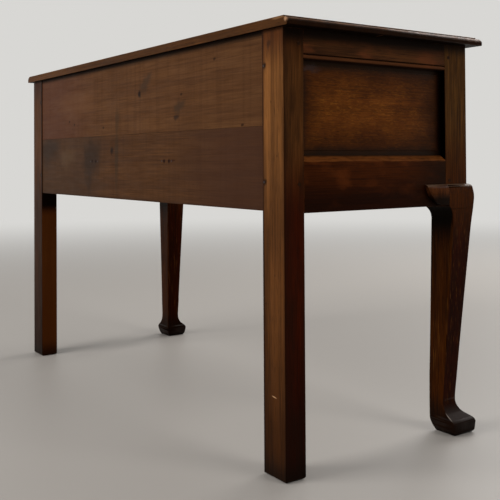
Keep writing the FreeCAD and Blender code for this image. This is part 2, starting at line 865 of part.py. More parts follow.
def mould_waste(edge, inward):
    """Sections of what the plane takes off an edge: the mould above, an eased arris below."""
    shoulder = edge + inward * s.top_mould_width
    outside = edge - inward * s.overrun
    step = s.top_thickness - s.top_mould_step
    ease = edge + inward * s.top_lower_round
    upper = [
        (outside, s.top_thickness + s.overrun),
        (shoulder, s.top_thickness + s.overrun),
        (shoulder, step, inward * mould_share),
        (edge, step - s.top_mould_drop),
        (outside, step - s.top_mould_drop),
    ]
    lower = [
        (outside, -s.overrun),
        (ease, -s.overrun),
        (ease, 0, -inward * s.top_lower_round),
        (edge, s.top_lower_round),
        (outside, s.top_lower_round),
    ]
    return upper, lower


def top_board(label, front, back):
    board = new_board(label, (top_left, front, top_underside), (top_right, back, s.overall_height))
    pocket(board, "XZ", -s.overrun, back - front + s.overrun,
           *mould_waste(as_size(0), 1), *mould_waste(top_right - top_left, -1))
    return board


top_front_board = top_board("top_front_board", top_front, top_joint)
pocket(top_front_board, "YZ", -s.overrun, top_right - top_left + s.overrun, *mould_waste(as_size(0), 1))
nodes += [top_front_board, top_board("top_back_board", top_joint, top_back)]

# Glue blocks in the angles under the top, behind the front rail and inside the back board.
blocks = []
for share in block_place_shares:
    centre = x_left + s.carcase_length * share
    for front in (y_front + s.front_rail_thickness, back_inside - s.block_size):
        blocks.append(new_board(f"glue_block_{len(blocks) + 1}",
                                (centre - s.block_length / 2, front, top_underside - s.block_size),
                                (centre + s.block_length / 2, front + s.block_size, top_underside)))
nodes.append(group("top_glue_blocks", blocks))

# Oak pegs through the tenons, a little proud of the legs.
pegs = []
front_peg_y = y_front + s.front_stile - s.peg_inset
back_peg_y = y_back - s.back_leg_depth + s.peg_inset
front_peg_x = s.carcase_length / 2 - s.front_stile + s.peg_inset
for start in (x_left - s.peg_proud, x_right - s.peg_length):
    for peg_y in (front_peg_y, back_peg_y):
        for height in (top_peg_height, bottom_peg_height):
            pegs.append(peg(f"peg_{len(pegs) + 1}", "x", (start, peg_y, height)))
for peg_x in (-front_peg_x, front_peg_x):
    for height in (front_peg_height, bottom_peg_height):
        pegs.append(peg(f"peg_{len(pegs) + 1}", "y", (peg_x, y_front - s.peg_proud, height)))
nodes.append(group("frame_pegs", pegs))

# Nails through the legs into the boards' tongues, and through the lower board into the runners.
nails = []
leg_nail_x = s.carcase_length / 2 - s.back_leg_width + s.nail_inset
for nail_x in (-leg_nail_x, leg_nail_x):
    for height in (upper_nail_height, lower_nail_height):
        nails.append(nail(f"nail_{len(nails) + 1}", (nail_x, y_back - s.leg_nail_length, height),
                          s.leg_nail_length))
runner_nail_length = s.nail_length + s.back_board_thickness
for nail_x in runner_nail_places:
    nails.append(nail(f"nail_{len(nails) + 1}",
                      (nail_x, back_face - runner_nail_length, runner_nail_height), runner_nail_length))
nodes.append(group("back_nails", nails))

# Drawers: dovetailed boxes. Their pieces are drawn from the drawer's own lower front left corner.
drawer_width = opening_width - 2 * s.drawer_side_gap
drawer_height = opening_height - s.drawer_run_gap - s.drawer_top_gap
drawer_length = s.carcase_depth - s.back_leg_depth - s.drawer_back_room
side_height = drawer_height - s.drawer_side_drop
bottom_top = s.drawer_bottom_rise + s.drawer_bottom_thickness
groove_top = bottom_top + s.joint_gap
groove_inset = s.drawer_side_thickness - s.drawer_groove_depth
back_shoulder = drawer_length - s.drawer_side_thickness
handle_height = drawer_height / 2 + s.handle_rise
tail_pitch = side_height / s.dovetail_count
side_spans = [(-s.overrun, s.drawer_side_thickness),
              (drawer_width - s.drawer_side_thickness, drawer_width + s.overrun)]


def tail(root, tip, slack):
    """The lowest dovetail of a row, from its root to its tip along the side."""
    centre = tail_pitch / 2
    root_half = tail_pitch * tail_root_share / 2 + slack
    tip_half = tail_pitch * tail_tip_share / 2 + slack
    return [(root, centre - root_half), (tip, centre - tip_half),
            (tip, centre + tip_half), (root, centre + root_half)]


def repeat_up(body, feature):
    """Repeats a tail, or its socket, up the height of the drawer side."""
    pattern = body.newObject("PartDesign::LinearPattern", f"{body.Name}_row")
    pattern.Originals = [feature]
    pattern.Direction = (origin_feature(body, "Z_Axis"), [""])
    bind(pattern, "Length", side_height - tail_pitch)
    bind(pattern, "Occurrences", s.dovetail_count)
    body.Tip = pattern


def drawer_front(label, place):
    front = new_body(label, place)
    depth = s.drawer_front_thickness
    pad_box(front, (0, 0, 0), (drawer_width, depth, drawer_height))
    bead = s.bead_thickness
    pocket(front, "XZ", -s.overrun, s.bead_depth - s.bead_proud + s.joint_gap,
           rectangle(-s.overrun, -s.overrun, drawer_width + s.overrun, drawer_height + s.overrun),
           rectangle(bead, bead, drawer_width - bead, drawer_height - bead))
    for low, high in side_spans:
        repeat_up(front, pocket(front, "YZ", low, high,
                                tail(depth, s.dovetail_lap - s.joint_gap, s.joint_gap)))
    cut_box(front, (groove_inset, depth - s.drawer_groove_depth, s.drawer_bottom_rise),
            (drawer_width - groove_inset, depth + s.overrun, groove_top))
    peg_holes(front, "XZ", -s.overrun, depth + s.overrun, s.shank_radius + s.joint_gap,
              (drawer_width / 2 - s.handle_spread / 2, handle_height),
              (drawer_width / 2 + s.handle_spread / 2, handle_height))
    return front


def drawer_side(label, place, groove_low):
    side = new_body(label, place)
    thickness = s.drawer_side_thickness
    pad_box(side, (0, s.drawer_front_thickness, 0), (thickness, back_shoulder, side_height))
    for shoulder, tip in ((s.drawer_front_thickness, s.dovetail_lap), (back_shoulder, drawer_length)):
        repeat_up(side, pad(side, "YZ", 0, thickness, tail(shoulder, tip, 0)))
    cut_box(side, (groove_low, 0, s.drawer_bottom_rise),
            (groove_low + s.drawer_groove_depth, drawer_length, groove_top))
    return side


def drawer_back(label, place):
    back = new_body(label, place)
    pad_box(back, (0, back_shoulder, groove_top),
            (drawer_width, drawer_length, drawer_height - s.drawer_back_drop))
    for low, high in side_spans:
        repeat_up(back, pocket(back, "YZ", low, high,
                               tail(back_shoulder, drawer_length + s.joint_gap, s.joint_gap)))
    return back


def drawer_bottom(label, place):
    inset = groove_inset + s.joint_gap
    front = s.drawer_front_thickness - s.drawer_groove_depth + s.joint_gap
    low = (inset, front, s.drawer_bottom_rise)
    high = (drawer_width - inset, drawer_length, bottom_top)
    bottom = new_body(label, place)
    pad_box(bottom, low, high)
    return bottom


def drawer_bead(label, place):
    """The cock bead: strips mitred round the front, standing proud of it."""
    bead = new_body(label, place)
    width, face = s.bead_thickness, -s.bead_proud
    pad(bead, "XZ", face, s.bead_depth - s.bead_proud,
        rectangle(0, 0, drawer_width, drawer_height),
        rectangle(width, width, drawer_width - width, drawer_height - width))
    levels = (0, width, drawer_height - width, drawer_height)
    sides = (0, width, drawer_width - width, drawer_width)
    names = edges_at(bead, *[(None, face, level) for level in levels],
                     *[(place, face, None) for place in sides])
    soften("Fillet", bead, names, s.bead_round)
    return bead


# Drop handles: a cast backplate, two turned posts and a bent bail. They are drawn from the point
# on the drawer front midway between the posts.
def backplate(label, place):
    plate = new_body(label, place)
    half = [(s.plate_half_width * across, (s.plate_rise if up > 0 else s.plate_fall) * up, bulge)
            for across, up, bulge in plate_shares]
    left = [(-there[0], there[1], here[2]) for here, there in zip(half, half[1:])]
    pad(plate, "XZ", -s.plate_thickness, 0, half[:-1] + left[::-1])
    peg_holes(plate, "XZ", -s.plate_thickness, 0, s.shank_radius + s.joint_gap,
              (-s.handle_spread / 2, 0), (s.handle_spread / 2, 0))
    return plate


def handle_post(label, place):
    """One post: a collar, neck and bored head in front, a shank and a square nut behind."""
    post = new_body(label, (place[0] - s.handle_spread / 2, place[1], place[2]))
    behind = s.drawer_front_thickness
    nut_end = behind + s.nut_thickness
    seat = -s.plate_thickness
    collar_front = seat - s.collar_height
    head, reach = s.post_head_radius, s.post_reach
    pad(post, "XZ", collar_front, seat, eight_sided((0, 0), s.collar_radius))
    soften("Chamfer", post, edges_at(post, (None, collar_front, None)), s.post_chamfer)
    pad(post, "XZ", head - reach, collar_front, eight_sided((0, 0), s.post_neck_radius))
    pad(post, "XZ", -head - reach, head - reach, eight_sided((0, 0), head))
    soften("Chamfer", post, edges_at(post, (None, -head - reach, None)), s.post_chamfer)
    pad(post, "XZ", seat, nut_end + s.shank_tip, eight_sided((0, 0), s.shank_radius))
    pad(post, "XZ", behind, nut_end, square((0, 0), s.nut_width / 2))
    bore_start = -s.bail_pin_length / 2 - s.bail_fit
    extrude("Pocket", post, "YZ", bore_start, head + s.overrun, (),
            ((-reach, 0), s.bail_wire_radius + s.bail_fit))
    return post


def bail(label, place):
    """Swan-necked bail, bent from one rod in short lengths, with a swelling grip."""
    wire = new_body(label, place)
    pin_end = (s.handle_spread + s.bail_pin_length) / 2
    shoulder, neck, drop = s.bail_shoulder_radius, s.bail_neck_radius, s.bail_drop_radius
    shoulder_x = s.handle_spread / 2 - s.post_head_radius - s.bail_shoulder_gap
    neck_x = shoulder_x - shoulder + neck
    drop_x = neck_x - (neck + drop) * diagonal_share
    drop_middle = -shoulder - (neck + drop) * diagonal_share
    half = [
        (pin_end, as_size(0)),
        *bend_points((shoulder_x, -shoulder), shoulder, 90, 180, 3),
        *bend_points((neck_x, -shoulder), neck, 180, 225, 2)[1:],
        *bend_points((drop_x, drop_middle), drop, 45, -90, 5)[1:],
    ]
    pad(wire, "YZ", -drop_x, drop_x,
        eight_sided((-s.post_reach, drop_middle - drop), s.bail_wire_radius + s.bail_grip_swell))
    soften("Chamfer", wire, edges_at(wire, (-drop_x, None, None), (drop_x, None, None)),
           s.bail_grip_chamfer)
    path = new_sketch(wire, "XZ", s.post_reach)
    draw(path, half + [(-across, up) for across, up in half[::-1]], closed=False)
    section = new_sketch(wire, "YZ", pin_end)
    draw(section, eight_sided((-s.post_reach, 0), s.bail_wire_radius))
    pipe = wire.newObject("PartDesign::AdditivePipe", f"{wire.Name}_pipe")
    pipe.Profile = section
    pipe.Spine = path
    pipe.Transition = "Right corner"
    return wire


for index, side in enumerate(("left", "middle", "right")):
    corner = (opening_start(index) + s.drawer_side_gap, y_front, opening_bottom + s.drawer_run_gap)
    right_corner = (corner[0] + drawer_width - s.drawer_side_thickness, *corner[1:])
    handle = (corner[0] + drawer_width / 2, y_front, corner[2] + handle_height)
    post = handle_post(f"{side}_handle_post", handle)
    nodes += [
        drawer_front(f"{side}_drawer_front", corner),
        drawer_side(f"{side}_drawer_left_side", corner, groove_inset),
        drawer_side(f"{side}_drawer_right_side", right_corner, as_size(0)),
        drawer_back(f"{side}_drawer_back", corner),
        drawer_bottom(f"{side}_drawer_bottom", corner),
        drawer_bead(f"{side}_drawer_bead", corner),
        backplate(f"{side}_handle_plate", handle),
        group(f"{side}_handle_posts", [post, mirror(f"{side}_handle_post_twin", post, handle[0])]),
        bail(f"{side}_handle_bail", handle),
    ]

doc.recompute()

# Nothing is written unless every object and every piece came out sound.
faults = [item.Label for item in doc.Objects if {"Invalid", "Error"} & set(item.State)]
for node in nodes:
    if node.Shape.isNull() or not node.Shape.isValid():
        faults.append(node.Label)
if faults:
    raise RuntimeError(f"These did not build: {', '.join(faults)}")
os.makedirs("parts", exist_ok=True)
for node in nodes:
    node.Shape.exportStep(f"parts/{node.Label}.step")
print(f"{len(nodes)} pieces written")
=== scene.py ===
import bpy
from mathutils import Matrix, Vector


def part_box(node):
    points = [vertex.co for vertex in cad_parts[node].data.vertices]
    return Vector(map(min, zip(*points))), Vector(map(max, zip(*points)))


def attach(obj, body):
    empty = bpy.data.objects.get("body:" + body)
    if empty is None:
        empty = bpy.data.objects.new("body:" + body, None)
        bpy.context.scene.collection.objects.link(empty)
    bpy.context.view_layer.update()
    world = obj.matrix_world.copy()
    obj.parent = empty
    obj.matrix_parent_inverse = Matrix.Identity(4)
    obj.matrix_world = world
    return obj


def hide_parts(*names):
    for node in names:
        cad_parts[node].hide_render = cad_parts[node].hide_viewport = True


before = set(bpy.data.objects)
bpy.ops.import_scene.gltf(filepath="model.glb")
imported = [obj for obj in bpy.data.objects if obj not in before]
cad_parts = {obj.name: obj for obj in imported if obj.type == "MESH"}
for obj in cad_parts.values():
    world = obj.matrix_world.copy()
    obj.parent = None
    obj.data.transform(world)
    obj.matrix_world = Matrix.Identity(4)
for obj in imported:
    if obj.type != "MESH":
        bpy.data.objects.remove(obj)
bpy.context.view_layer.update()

import math

import bmesh
import bpy
from mathutils import Matrix, Vector

# An oak dresser base: a pegged frame with panelled ends, three drawers, square back legs and
# cabriole front legs. Metres, on the CAD frame: X along the front, -Y out of the drawers, Z up.
# Streaks, marks, bevels, cuts and the handles' sizes are in millimetres.
MM = 0.001
SIDES = ("left", "right")
DRAWERS = ("left", "middle", "right")

# The faces that bear marks, in millimetres: the backs of the legs and boards, and the two ends.
LEG_BACK = 241
BOARD_BACK = 239
END_FACE = 590
bpy.ops.object.select_all(action="DESELECT")


# Back legs
# Square oak posts from the floor to the top, planed by hand. Their outer and front faces were
# polished with the ends of the dresser; the back faces were only oiled, and stay a warmer brown.

def linear(colour):
    """A hex sRGB colour as linear red, green, blue and alpha."""
    parts = [int(colour[start:start + 2], 16) / 255 for start in (1, 3, 5)]
    return [part / 12.92 if part <= 0.04045 else ((part + 0.055) / 1.055) ** 2.4
            for part in parts] + [1]


def add(tree, kind, values, output=0):
    """Adds a shader node. Each value is a link from another node, a socket's value or a setting."""
    made = tree.nodes.new(f"ShaderNode{kind}")
    for key, value in values.items():
        if isinstance(value, bpy.types.NodeSocket):
            tree.links.new(value, made.inputs[key])
        elif isinstance(key, int) or key in made.inputs:
            made.inputs[key].default_value = value
        else:
            setattr(made, key, value)
    return made.outputs[output] if made.outputs else None


class Finish:
    """A material, built up coat over coat and placed by the piece's Object coordinates."""

    def __init__(self, name, ground):
        self.material = bpy.data.materials.new(name)
        self.material.use_nodes = True
        self.tree = self.material.node_tree
        self.tree.nodes.clear()
        self.place = add(self.tree, "TexCoord", {}, "Object")
        self.colour = linear(ground)

    def axis(self, letter, source="Object"):
        """How far along an axis a point lies in metres, or how squarely its face looks that way."""
        return add(self.tree, "SeparateXYZ", {0: add(self.tree, "TexCoord", {}, source)}, letter)

    def streaks(self, along, width, length, shift=0, detail=2, twist=0):
        """Noise drawn out along the grain. Its width and length are in millimetres."""
        sizes = [width * MM] * 3
        sizes["XYZ".index(along)] = length * MM
        vector = add(self.tree, "Mapping", {"Vector": self.place, "Location": [shift] * 3,
                                            "Scale": [1 / size for size in sizes]})
        return add(self.tree, "TexNoise", {"Vector": vector, "Scale": 1, "Detail": detail,
                                           "Distortion": twist})

    def lay(self, tone, value, low, high, strength=1, within=None, blend="MIX"):
        """Lays a tone over the colour, from none where the value is low to all where it is high."""
        amount = add(self.tree, "MapRange", {"interpolation_type": "SMOOTHSTEP", "Value": value,
                                             "From Min": low, "From Max": high, "To Max": strength})
        if within is not None:
            amount = add(self.tree, "Math", {"operation": "MULTIPLY", 0: amount, 1: within})
        self.colour = add(self.tree, "MixRGB", {"blend_type": blend, "Fac": amount,
                                                "Color1": self.colour, "Color2": linear(tone)})
        return amount

    def mark(self, tone, centre, radii, strength, ragged=0.5, turn=0):
        """Lays a soft ragged oval of a tone, in millimetres: a knot, stain or scratch, or a painted
        highlight, reflection or shade.
        """
        away = add(self.tree, "VectorMath", {"operation": "SUBTRACT", 0: self.place,
                                             1: [size * MM for size in centre]})
        away = add(self.tree, "VectorRotate", {"rotation_type": "Y_AXIS", "Vector": away,
                                               "Angle": math.radians(turn)})
        away = add(self.tree, "VectorMath", {"operation": "DIVIDE", 0: away,
                                             1: [size * MM for size in radii]})
        length = add(self.tree, "VectorMath", {"operation": "LENGTH", 0: away}, "Value")
        wobble = add(self.tree, "TexNoise", {"Vector": away, "Scale": 1.3, "Detail": 3})
        rim = add(self.tree, "Math", {"operation": "MULTIPLY_ADD", 0: wobble, 1: ragged * 2,
                                      2: length})
        self.lay(tone, rim, ragged + 1, ragged + 0.25, strength)

    def grime_and_shade_edges(self, tone, box, reach, strength, blend="MIX"):
        """Darkens a face near the edges of a box: grime where wax and dirt gather, and painted
        shade where the face lies in a recess.
        """
        low = add(self.tree, "VectorMath", {"operation": "SUBTRACT", 0: self.place, 1: box[0]})
        high = add(self.tree, "VectorMath", {"operation": "SUBTRACT", 0: box[1], 1: self.place})
        nearest = add(self.tree, "VectorMath", {"operation": "MINIMUM", 0: low, 1: high})
        x, y, z = (add(self.tree, "SeparateXYZ", {0: nearest}, axis) for axis in range(3))
        least = add(self.tree, "Math", {"operation": "MINIMUM", 0: x, 1: y})
        most = add(self.tree, "Math", {"operation": "MAXIMUM", 0: x, 1: y})
        other = add(self.tree, "Math", {"operation": "MINIMUM", 0: most, 1: z})
        distance = add(self.tree, "Math", {"operation": "MAXIMUM", 0: least, 1: other})
        ragged = add(self.tree, "TexNoise", {"Vector": self.place, "Scale": 28, "Detail": 3})
        reached = add(self.tree, "Math", {"operation": "MULTIPLY_ADD", 0: ragged,
                                          1: -0.4 * reach * MM, 2: distance})
        self.lay(tone, reached, 0.8 * reach * MM, -0.2 * reach * MM, strength, blend=blend)


def oak(name, along, light, dark, shift=0, pores=0.5, blotch=0.4, figure=26):
    """Old oak: broad rings, fine streaks and pores along the grain, under an uneven patina."""
    wood = Finish(name, dark)
    wood.along, wood.shift = along, shift
    # Rings run 26 mm wide in bands half a metre long; streaks are 2 mm by 110 mm.
    rings = wood.streaks(along, figure, 480, shift, 5, 0.5)
    wood.fine = wood.streaks(along, 2.2, 110, shift + 3, 3)
    tone = add(wood.tree, "Math", {"operation": "MULTIPLY_ADD", 0: rings, 1: 1.1, 2: wood.fine})
    wood.lay(light, tone, 0.8, 1.3)
    # Oak's pores are 0.3 mm wide; they are drawn at 1.2 mm so that they show as dark flecks.
    wood.pores = wood.lay("#150a05", wood.streaks(along, 1.2, 26, shift + 7, 1), 0.56, 0.68, pores)
    wood.lay(dark, wood.streaks(along, 70, 150, shift + 11, 4), 0.42, 0.72, blotch)
    return wood


def rub(wood, tone, strength):
    """Rubs the polish back to paler wood where use has rounded the arrises."""
    rubbed = add(wood.tree, "Attribute", {"attribute_name": "worn"}, "Fac")
    wood.lay(tone, wood.streaks(wood.along, 9, 40, wood.shift + 17, 3), 0.3, 0.65, strength, rubbed)


def polish(wood, rough=0.42, shine=0.06, swell=0.5):
    """Closes an oak finish: open pores, a hand-planed swell, and amber polish, duller in places."""
    height = add(wood.tree, "Math", {"operation": "MULTIPLY_ADD", 0: wood.pores, 1: -0.8,
                                     2: wood.fine})
    bump = add(wood.tree, "Bump", {"Height": height, "Distance": 0.0003, "Strength": 0.35})
    uneven = wood.streaks(wood.along, 35, 90, wood.shift + 23, 2)
    bump = add(wood.tree, "Bump", {"Height": uneven, "Distance": 0.0012, "Strength": swell,
                                   "Normal": bump})
    patches = wood.streaks(wood.along, 14, 60, wood.shift + 29, 3)
    dull = add(wood.tree, "MapRange", {"Value": patches, "From Min": 0.2, "From Max": 0.8,
                                       "To Min": rough - 0.06, "To Max": rough + 0.14})
    shader = add(wood.tree, "BsdfPrincipled", {
        "Base Color": wood.colour, "Roughness": dull, "IOR": 1.5, "Specular IOR Level": shine,
        "Specular Tint": linear("#d99a5b"), "Normal": bump})
    add(wood.tree, "OutputMaterial", {"Surface": shader})
    return wood.material


def finish_piece(piece, material, slot, body, *nodes):
    """Gives a finished piece its material and its body, and hides the nodes that it stands for. Its
    slot is not used.
    """
    piece.data.materials.clear()
    piece.data.materials.append(material)
    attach(piece, body)
    if nodes:
        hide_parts(*nodes)
    return piece


# Faces meet flush, in an arris that wears, or under one smooth shade, by the angle between them.
FLUSH_ANGLE = math.radians(0.1)
ARRIS_ANGLE = math.radians(30)
SMOOTH_ANGLE = math.radians(46)


def worn_copy(node, width, material, slot, body="root", segments=2, shortest=12, share=None,
              cuts=()):
    """A node's shape with its long outer arrises rounded, as use and polish wear them.

    Edges no longer than the shortest stay sharp. Where given, share tells how much of the width
    an edge takes, from 0 to 1, and cuts are the heights at which edges are parted for it."""
    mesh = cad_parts[node].data.copy()
    piece = bpy.data.objects.new(f"{node}_worn", mesh)
    bpy.context.collection.objects.link(piece)
    bpy.context.view_layer.objects.active = piece
    piece.select_set(True)
    # The material fills two slots: rounded faces take the second, and are known by it as worn.
    mesh.materials.clear()
    mesh.materials.append(material)
    mesh.materials.append(material)
    bpy.ops.object.mode_set(mode="EDIT")
    bpy.ops.mesh.select_mode(type="EDGE")
    bpy.ops.mesh.select_all(action="SELECT")
    bpy.ops.mesh.remove_doubles(threshold=0.00001)
    bpy.ops.mesh.dissolve_limited(angle_limit=FLUSH_ANGLE)
    for cut in cuts:
        bpy.ops.mesh.select_all(action="SELECT")
        bpy.ops.mesh.bisect(plane_co=(0, 0, cut * MM), plane_no=(0, 0, 1))
    shape = bmesh.from_edit_mesh(mesh)
    weights = shape.edges.layers.float.new("bevel_weight_edge")
    for edge in shape.edges:
        sharp = edge.is_manifold and edge.is_convex and edge.calc_face_angle() > ARRIS_ANGLE
        if sharp and edge.calc_length() > shortest * MM:
            edge[weights] = share(edge) if share else 1
    bmesh.update_edit_mesh(mesh)
    bpy.ops.object.mode_set(mode="OBJECT")
    bevel = piece.modifiers.new("Worn arrises", "BEVEL")
    bevel.limit_method = "WEIGHT"
    bevel.width = width * MM
    bevel.segments = segments
    bevel.use_clamp_overlap = False
    bevel.miter_outer = "MITER_ARC"
    bevel.material = 1
    bpy.ops.object.modifier_apply(modifier=bevel.name)
    rubbed = mesh.attributes.new("worn", "FLOAT", "FACE")
    for face in mesh.polygons:
        rubbed.data[face.index].value = face.material_index
        face.material_index = 0
    bpy.ops.object.shade_smooth_by_angle(angle=SMOOTH_ANGLE)
    weighted = piece.modifiers.new("Weighted", "WEIGHTED_NORMAL")
    weighted.keep_sharp = True
    bpy.ops.object.modifier_apply(modifier=weighted.name)
    piece.select_set(False)
    return finish_piece(piece, material, slot, body, node)


FOOT_CHAMFER_TOP = 4


def post_softness(edge):
    """The edges of the soles are worn most, by being dragged over floors."""
    return 0.55 if max(vert.co.z for vert in edge.verts) < FOOT_CHAMFER_TOP * MM else 0.35


for index, side in enumerate(SIDES):
    light, dark = ("#87562b", "#5a3718") if side == "left" else ("#65401f", "#45290f")
    wood = oak(f"hand-planed dark oak post {side}", "Z", light, dark, 5 * index + 1, 0.4, 0.45)
    height = wood.axis("Z")
    wood.lay("#b9b2ad", height, 0.64, 0.40, blend="MULTIPLY")
    wood.lay("#b1a597", height, 0.36, 0.02, blend="MULTIPLY")
    outward = -1 if side == "left" else 1
    flank = wood.lay("#cec8c5", wood.axis("X", "Normal"), 0.3 * outward, 0.8 * outward,
                     blend="MULTIPLY")
    wood.lay("#d47f4d", height, 0.60, 0.44, 1, flank, "MULTIPLY")
    wood.lay("#140905", wood.streaks("Z", 24, 120, 31 + index, 4), 0.45, 0.7, 0.5, flank)
    wood.lay("#140905", wood.axis("Y"), 0.208, 0.232, 0.5, flank)
    # Painted shadow under the top's overhang: the outer face goes near black at its upper end, and
    # every face darkens towards the top.
    wood.lay("#060302", height, 0.746, 0.772, 0.95, flank)
    wood.lay("#b09c90", height, 0.70, 0.775, blend="MULTIPLY")
    inward = add(wood.tree, "Math", {"operation": "ABSOLUTE", 0: wood.axis("X")})
    wood.lay("#8d7868", inward, 0.547, 0.541, 1, wood.axis("Y", "Normal"), "MULTIPLY")
    wood.grime_and_shade_edges("#1a0c06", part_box(f"back_leg_{side}"), 8, 0.5)
    if side == "right":
        inside = wood.lay("#65320f", wood.axis("X", "Normal"), -0.3, -0.8, 0.5)
        # Painted shadow under the rails: the inner face goes near black below them.
        wood.lay("#050201", height, 0.395, 0.43, 2, inside)
        wood.lay("#d2c2b4", wood.axis("Y", "Normal"), 0.3, 0.8, blend="MULTIPLY")
    else:
        wood.mark("#2a170c", (-560, LEG_BACK, 757), (9, 6, 12), 0.7, 0.7)
        wood.mark("#c79a70", (-571, LEG_BACK, 141), (9, 6, 1.6), 0.8, 0.2, 8)
        for x, z in ((-566, 655), (-548, 300), (-583, 560), (-560, 96), (-575, 352)):
            wood.mark("#1d0e06", (x, LEG_BACK, z), (1.6, 6, 3.4), 0.8)
    for nail_height in (720, 514):
        end = -547 if side == "left" else 547
        wood.mark("#150804", (end, LEG_BACK, nail_height), (7.5, 6, 9), 0.92, 0.4)
    rub(wood, "#6b4526", 0.2)
    wood.lay("#0a0503", height, 0.05, 0.003, 0.8)
    worn_copy(f"back_leg_{side}", 3.5, polish(wood), "carcase_oak", segments=3, share=post_softness)


# Cabriole front legs
# Each is sawn from one square oak blank to the same curve on two faces, then rasped and polished.
# Hands and brooms have rounded them, dust lies on the knees, and the feet are darker towards the
# floor.

# The post's inner faces and the heights where the rounding changes, in metres. The shin's rounding
# fades towards the ankle from cut to cut.
INNER_X, INNER_Y = 0.5411, 0.1631
KNEE_TOP, KNEE_LOW, SHIN_TOP = 0.505, 0.46, 0.40
SHIN_LOW, ANKLE, SOLE_TOP = 0.24, 0.07, 0.0265
SHIN_CUTS = (76, 86, 98, 112, 130, 152, 178, 208, 240)


def leg_softness(edge):
    """The shins are rounded most, the posts, knees and feet hardly, and the soles not at all."""
    middle = (edge.verts[0].co + edge.verts[1].co) / 2
    beside_rail = abs(middle.x) < INNER_X
    in_corner = abs(edge.verts[0].co.x) < INNER_X and all(
        abs(vert.co.y) < INNER_Y for vert in edge.verts)
    if middle.z > KNEE_TOP:
        return 0 if in_corner or beside_rail else 0.1
    if in_corner or beside_rail and middle.z > KNEE_LOW or middle.z < SOLE_TOP:
        return 0
    rise = min(max((middle.z - ANKLE) / (SHIN_LOW - ANKLE), 0), 1)
    fall = min(max((KNEE_LOW - middle.z) / (KNEE_LOW - SHIN_TOP), 0), 1)
    return 0.04 + 0.96 * min(rise, fall)


for index, side in enumerate(SIDES):
    wood = oak(f"polished cabriole leg oak {side}", "Z", "#583815", "#38210b", 5 * index + 3)
    height = wood.axis("Z")
    facing = wood.axis("Y", "Normal")
    wood.lay("#e0b482", height, 0.66, 0.5, blend="MULTIPLY")
    wood.lay("#dbd297", height, 0.42, 0.2, blend="MULTIPLY")
    low = add(wood.tree, "MapRange", {"Value": height, "From Min": 0.47, "From Max": 0.38})
    wood.lay("#aa7455", facing, 0.7, 0.3, 1, low, "MULTIPLY")
    wood.lay("#170a04", wood.streaks("Z", 2.8, 90, 41 + index, 3), 0.5, 0.68, 0.55)
    wood.lay("#7a4a1e", wood.streaks("Z", 2.2, 60, 47 + index, 3), 0.58, 0.76, 0.5, low)
    wood.lay("#0b0503", height, 0.085, 0.03, 0.85)
    # Painted shadow under the top's overhang, near black at the post's upper end.
    wood.lay("#0a0503", height, 0.752, 0.782, 0.85)
    upward = wood.axis("Z", "Normal")
    knee = add(wood.tree, "MapRange", {"Value": height, "From Min": 0.45, "From Max": 0.48})
    foot = add(wood.tree, "MapRange", {"Value": height, "From Min": 0.08, "From Max": 0.06})
    wood.lay("#5d4a3a", upward, 0.25, 0.8, 0.7, knee)
    # The tops of the toes are painted grey: dust and a painted sheen on the left foot, and darker
    # painted shade on the right one.
    toe_dust_sheen_shade, toe, turn = ("#27201e", -600, 37) if side == "left" else ("#130f0d", 600, -37)
    wood.lay(toe_dust_sheen_shade, upward, 0.2, 0.7, 0.7, foot)
    # Painted shadow: the faces that look to the back go near black from the ears down the shin.
    under = add(wood.tree, "MapRange", {"Value": facing, "From Min": 0.3, "From Max": 0.8})
    wood.lay("#020100", height, 0.36, 0.43, 1, under)
    # A painted highlight along the toe's upper arris.
    wood.mark("#9a8e84", (toe, -169.8, 37), (14, 1.6, 1.8), 0.85, 0.2, turn)
    rub(wood, "#4a2812", 0.4)
    worn_copy(f"front_leg_{side}", 5.5, polish(wood, 0.38, 0.05), "carcase_oak", segments=4,
              shortest=1.5, share=leg_softness, cuts=SHIN_CUTS)
    for place in ("side", "front"):
        wood = oak(f"polished knee ear oak {side} {place}", "Z", "#512b12", "#30160a",
                   7 * index + 2)
        wood.lay("#5d4a3a", wood.axis("Z", "Normal"), 0.2, 0.8, 0.7)
        # Painted shade: the ear goes near black towards its lower edge, where it rolls under.
        wood.lay("#040201", wood.axis("Z"), 0.493, 0.472, 0.95)
        rub(wood, "#3c2212", 0.4)
        worn_copy(f"knee_ear_{side}_{place}", 0.5, polish(wood, 0.38, 0.05), "carcase_oak",
                  shortest=1.5)
